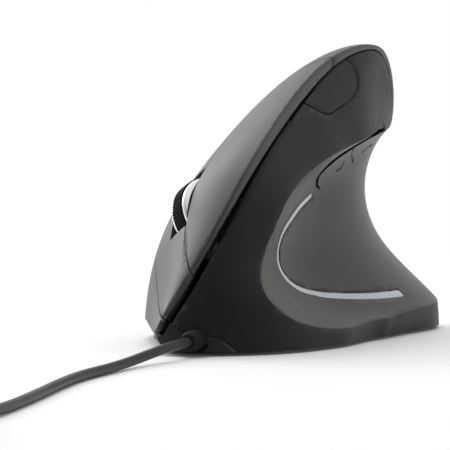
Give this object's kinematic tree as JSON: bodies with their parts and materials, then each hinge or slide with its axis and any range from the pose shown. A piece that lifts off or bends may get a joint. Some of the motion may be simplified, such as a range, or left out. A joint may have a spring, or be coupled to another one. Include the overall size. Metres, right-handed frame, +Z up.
{
  "type": "vertical computer mouse",
  "caption": "Right-handed vertical computer mouse: hinged main buttons, scroll wheel that tips to click, thumb and speed buttons, USB cord laid out with its spare length coiled.",
  "frame": {"origin": "on the desk, under the middle of the mouse's own box, cord left out", "axes": "+Y to the front, where the cord leaves; +X to the finger side; -X to the thumb side; +Z up"},
  "size_m": [0.0743, 0.3126, 0.0749],
  "materials": {
    "graphite": "satin",
    "soft_black": "soft-touch matte",
    "satin_black": "satin",
    "accent": "pale silver",
    "rubber": "matte",
    "wheel_rim": "chrome-plated",
    "steel": "brushed",
    "screw_steel": "blackened",
    "pcb": "solder mask",
    "skate": "slippery",
    "lens": "clear",
    "chip": "moulded",
    "led": "clear red",
    "connector": "moulded",
    "switch_case": "moulded",
    "plunger": "moulded",
    "inner_white": "moulded",
    "ribbon": "film",
    "cord": "satin",
    "usb_metal": "plated"
  },
  "bodies": {
    "housing": {"thumb_shell": "soft_black", "palm_shell": "graphite", "accent_strip": "accent", "nose_block": "satin_black", "strain_relief": "rubber", "base_plate": "soft_black", "front_skate": "skate", "rear_skate": "skate", "base_screws": "screw_steel", "board_screws": "steel", "main_board": "pcb", "sensor_lens": "lens", "sensor_chip": "chip", "sensor_led": "led", "cable_connector": "connector", "cable_lead": "cord", "button_bracket": "inner_white", "button_board": "pcb", "left_switch": "switch_case", "right_switch": "switch_case", "middle_switch": "switch_case", "side_board": "pcb", "board_ribbon": "ribbon", "forward_switch": "switch_case", "back_switch": "switch_case", "dpi_switch": "switch_case", "cord_free": "cord", "cord_coil": "cord", "coil_tie": "ribbon", "cord_tail": "cord", "plug_grip": "rubber", "plug_shell": "usb_metal", "plug_tongue": "inner_white"},
    "left_button": {"left_button": "graphite"},
    "right_button": {"right_button": "graphite"},
    "dpi_button": {"dpi_button": "soft_black"},
    "forward_button": {"forward_button": "satin_black"},
    "back_button": {"back_button": "satin_black"},
    "left_plunger": {"left_plunger": "plunger"},
    "right_plunger": {"right_plunger": "plunger"},
    "middle_plunger": {"middle_plunger": "plunger"},
    "forward_plunger": {"forward_plunger": "plunger"},
    "back_plunger": {"back_plunger": "plunger"},
    "dpi_plunger": {"dpi_plunger": "plunger"},
    "wheel_carrier": {"wheel_carrier": "inner_white", "wheel_encoder": "switch_case"},
    "wheel": {"wheel_tyre": "rubber", "wheel_hub": "wheel_rim", "wheel_axle": "steel"}
  },
  "joints": [
    {"name": "left_click", "type": "hinge", "parent": "housing", "child": "left_button", "pos_m": [-0.00544, -0.00006, 0.0654], "axis": [-0.7536, 0.4615, 0.4681], "range_deg": [0, 0.6], "stiffness_Nm_per_rad": 1.2},
    {"name": "right_click", "type": "hinge", "parent": "housing", "child": "right_button", "pos_m": [0.01126, -0.00006, 0.0496], "axis": [-0.7536, 0.4615, 0.4681], "range_deg": [0, 0.6], "stiffness_Nm_per_rad": 1.2},
    {"name": "dpi_press", "type": "slide", "parent": "housing", "child": "dpi_button", "axis": [1, 0, 0], "range_m": [0, 0.0005], "stiffness_N_per_m": 900},
    {"name": "forward_press", "type": "slide", "parent": "housing", "child": "forward_button", "axis": [1, 0, 0], "range_m": [0, 0.0005], "stiffness_N_per_m": 900},
    {"name": "back_press", "type": "slide", "parent": "housing", "child": "back_button", "axis": [1, 0, 0], "range_m": [0, 0.0005], "stiffness_N_per_m": 900},
    {"name": "wheel_press", "type": "hinge", "parent": "housing", "child": "wheel_carrier", "pos_m": [0.00702, 0.02036, 0.04113], "axis": [-0.7536, 0.4615, 0.4681], "range_deg": [0, 1], "stiffness_Nm_per_rad": 0.9},
    {"name": "wheel_spin", "type": "hinge", "parent": "wheel_carrier", "child": "wheel", "pos_m": [0.00703, 0.02998, 0.03167], "axis": [-0.7536, 0.4615, 0.4681], "continuous": true},
    {"name": "left_plunge", "type": "slide", "parent": "housing", "child": "left_plunger", "axis": [-0.6573, -0.5279, -0.5378], "range_m": [0, 0.000525]},
    {"name": "right_plunge", "type": "slide", "parent": "housing", "child": "right_plunger", "axis": [-0.6573, -0.5279, -0.5378], "range_m": [0, 0.000559]},
    {"name": "middle_plunge", "type": "slide", "parent": "housing", "child": "middle_plunger", "axis": [-0.6573, -0.5279, -0.5378], "range_m": [0, 0.000493]},
    {"name": "forward_plunge", "type": "slide", "parent": "housing", "child": "forward_plunger", "axis": [1, 0, 0], "range_m": [0, 0.0005]},
    {"name": "back_plunge", "type": "slide", "parent": "housing", "child": "back_plunger", "axis": [1, 0, 0], "range_m": [0, 0.0005]},
    {"name": "dpi_plunge", "type": "slide", "parent": "housing", "child": "dpi_plunger", "axis": [1, 0, 0], "range_m": [0, 0.0005]}
  ],
  "couplings": [
    {"joint": "left_plunge", "follows": "left_click", "m_per_rad": 0.0492},
    {"joint": "right_plunge", "follows": "right_click", "m_per_rad": 0.0524},
    {"joint": "middle_plunge", "follows": "wheel_press", "m_per_rad": 0.0277},
    {"joint": "forward_plunge", "follows": "forward_press", "ratio": 1},
    {"joint": "back_plunge", "follows": "back_press", "ratio": 1},
    {"joint": "dpi_plunge", "follows": "dpi_press", "ratio": 1}
  ]
}
